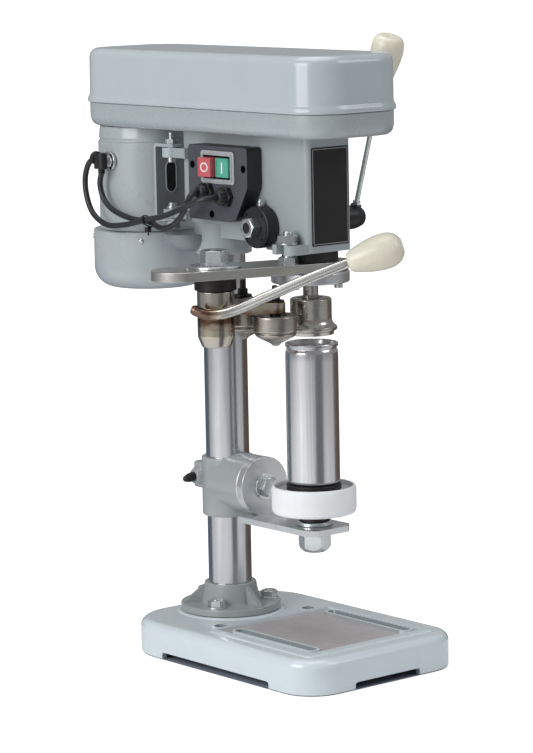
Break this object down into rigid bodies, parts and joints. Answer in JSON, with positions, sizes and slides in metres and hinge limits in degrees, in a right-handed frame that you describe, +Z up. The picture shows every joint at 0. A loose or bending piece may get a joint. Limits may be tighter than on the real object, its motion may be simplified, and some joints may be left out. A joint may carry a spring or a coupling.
{
  "type": "bench can seaming machine",
  "caption": "Bench can seaming machine: cast base and column, belt-driven chuck, hand lever with two seaming rollers, tilting arm with a spinning can platform.",
  "frame": {"origin": "centre of the bounding box in plan, on the surface the base stands on", "axes": "+Z up along the column; the operator stands at -Y and faces +Y, so the seaming lever's hub is on the -X side and the feed lever on the +X side"},
  "size_m": [0.2524, 0.4094, 0.596],
  "materials": {
    "base_paint": "gloss paint on cast iron",
    "head_paint": "gloss paint on cast iron",
    "bracket_paint": "satin paint on cast iron",
    "cover_paint": "gloss paint on pressed sheet",
    "motor_paint": "gloss paint",
    "ground_steel": "ground and polished",
    "brushed_plate": "brushed",
    "turned_steel": "turned, lightly tinted",
    "zinc": "bright zinc plate",
    "black_steel": "black oxide",
    "aluminium": "machined",
    "can_aluminium": "bright drawn aluminium",
    "black_plastic": "satin",
    "black_rubber": "matt",
    "white_plastic": "satin",
    "ivory_plastic": "polished",
    "red_plastic": "satin",
    "green_plastic": "satin"
  },
  "bodies": {
    "stand": {"base_casting": "base_paint", "column_flange": "bracket_paint", "flange_bolt_1": "zinc", "flange_bolt_2": "zinc", "flange_bolt_3": "zinc", "column": "ground_steel", "head_casting": "head_paint", "belt_cover_pan": "cover_paint", "drive_belt": "black_rubber", "motor_body": "motor_paint", "motor_bell": "motor_paint", "motor_bracket": "motor_paint", "motor_pivot_bolt_top": "zinc", "motor_pivot_bolt_bottom": "zinc", "motor_gland": "zinc", "gland_boot": "black_rubber", "switch_box": "black_plastic", "cable_gland_1": "black_plastic", "cable_gland_2": "black_plastic", "motor_lead_1": "black_rubber", "motor_lead_2": "black_rubber", "cable_tie": "black_plastic", "return_spring_cap": "black_plastic", "spring_cap_nut": "zinc", "seaming_plate": "brushed_plate", "plate_stud": "zinc", "stud_nut_upper": "zinc", "stud_nut_lower": "zinc", "bearing_flange": "aluminium"},
    "cover_lid": {"belt_cover_lid": "cover_paint"},
    "motor_rotor": {"motor_shaft": "ground_steel", "motor_pulley": "aluminium"},
    "spindle_drive": {"spindle_pulley": "aluminium"},
    "quill": {"quill": "ground_steel"},
    "spindle": {"spindle": "turned_steel", "seaming_chuck": "turned_steel"},
    "feed_lever": {"feed_pinion_shaft": "ground_steel", "feed_hub": "black_plastic", "feed_rod": "zinc", "feed_handle": "ivory_plastic"},
    "stop_button": {"stop_button": "red_plastic"},
    "start_button": {"start_button": "green_plastic"},
    "seaming_lever": {"pivot_bolt": "zinc", "hub_collar": "black_steel", "lever_hub": "turned_steel", "lever_rod": "zinc", "lever_handle": "ivory_plastic", "roller_axle_1": "black_steel", "roller_axle_2": "black_steel"},
    "roller_1": {"seaming_roller_1": "turned_steel"},
    "roller_2": {"seaming_roller_2": "turned_steel"},
    "table": {"table_bracket": "bracket_paint"},
    "table_clamp": {"table_clamp_handle": "black_plastic"},
    "table_tilt": {"table_arm": "aluminium", "arm_pivot_bolt": "zinc", "platform_bolt": "zinc"},
    "platform": {"platform_bearing": "black_steel", "platform_cup": "white_plastic", "rubber_pad": "black_rubber", "slim_can": "can_aluminium"}
  },
  "joints": [
    {"name": "lid_open", "type": "hinge", "parent": "stand", "child": "cover_lid", "pos_m": [-0.03225, 0.01019, 0.53], "axis": [0, -1, 0], "range_deg": [0, 100]},
    {"name": "motor_spin", "type": "hinge", "parent": "stand", "child": "motor_rotor", "pos_m": [0.02855, 0.14719, 0.52], "axis": [0, 0, 1], "continuous": true},
    {"name": "pulley_spin", "type": "hinge", "parent": "stand", "child": "spindle_drive", "pos_m": [0.02855, -0.09481, 0.53], "axis": [0, 0, 1], "continuous": true},
    {"name": "feed_turn", "type": "hinge", "parent": "stand", "child": "feed_lever", "pos_m": [0.02855, -0.06381, 0.419], "axis": [1, 0, 0], "range_deg": [0, 50.4], "stiffness_Nm_per_rad": 0.6, "springref_deg": -68.75},
    {"name": "quill_travel", "type": "slide", "parent": "stand", "child": "quill", "axis": [0, 0, -1], "range_m": [0, 0.0112]},
    {"name": "spindle_spin", "type": "hinge", "parent": "quill", "child": "spindle", "pos_m": [0.02855, -0.09481, 0.4], "axis": [0, 0, 1], "continuous": true},
    {"name": "stop_press", "type": "slide", "parent": "stand", "child": "stop_button", "axis": [1, 0, 0], "range_m": [0, 0.004], "stiffness_N_per_m": 300, "springref_m": -0.001},
    {"name": "start_press", "type": "slide", "parent": "stand", "child": "start_button", "axis": [1, 0, 0], "range_m": [0, 0.003], "stiffness_N_per_m": 300, "springref_m": -0.001},
    {"name": "seaming_swing", "type": "hinge", "parent": "stand", "child": "seaming_lever", "pos_m": [-0.06545, -0.06981, 0.36], "axis": [0, 0, 1], "range_deg": [-24, 10]},
    {"name": "roller_1_spin", "type": "hinge", "parent": "seaming_lever", "child": "roller_1", "pos_m": [-0.02311, -0.1046, 0.33], "axis": [0, 0, 1], "continuous": true},
    {"name": "roller_2_spin", "type": "hinge", "parent": "seaming_lever", "child": "roller_2", "pos_m": [-0.0152, -0.04796, 0.33], "axis": [0, 0, 1], "continuous": true},
    {"name": "table_height", "type": "slide", "parent": "stand", "child": "table", "axis": [0, 0, 1], "range_m": [-0.06, 0]},
    {"name": "clamp_turn", "type": "hinge", "parent": "table", "child": "table_clamp", "pos_m": [0.02855, 0.06719, 0.1625], "axis": [1, 0, 0], "range_deg": [0, 90]},
    {"name": "table_tilt", "type": "hinge", "parent": "table", "child": "table_tilt", "pos_m": [0.02855, -0.01581, 0.1625], "axis": [0, 1, 0], "range_deg": [0, 45]},
    {"name": "platform_spin", "type": "hinge", "parent": "table_tilt", "child": "platform", "pos_m": [0.02855, -0.09481, 0.16], "axis": [0, 0, 1], "continuous": true}
  ],
  "couplings": [
    {"joint": "pulley_spin", "follows": "motor_spin", "ratio": 0.4533},
    {"joint": "spindle_spin", "follows": "motor_spin", "ratio": 0.4533},
    {"joint": "quill_travel", "follows": "feed_turn", "m_per_rad": 0.0125}
  ]
}
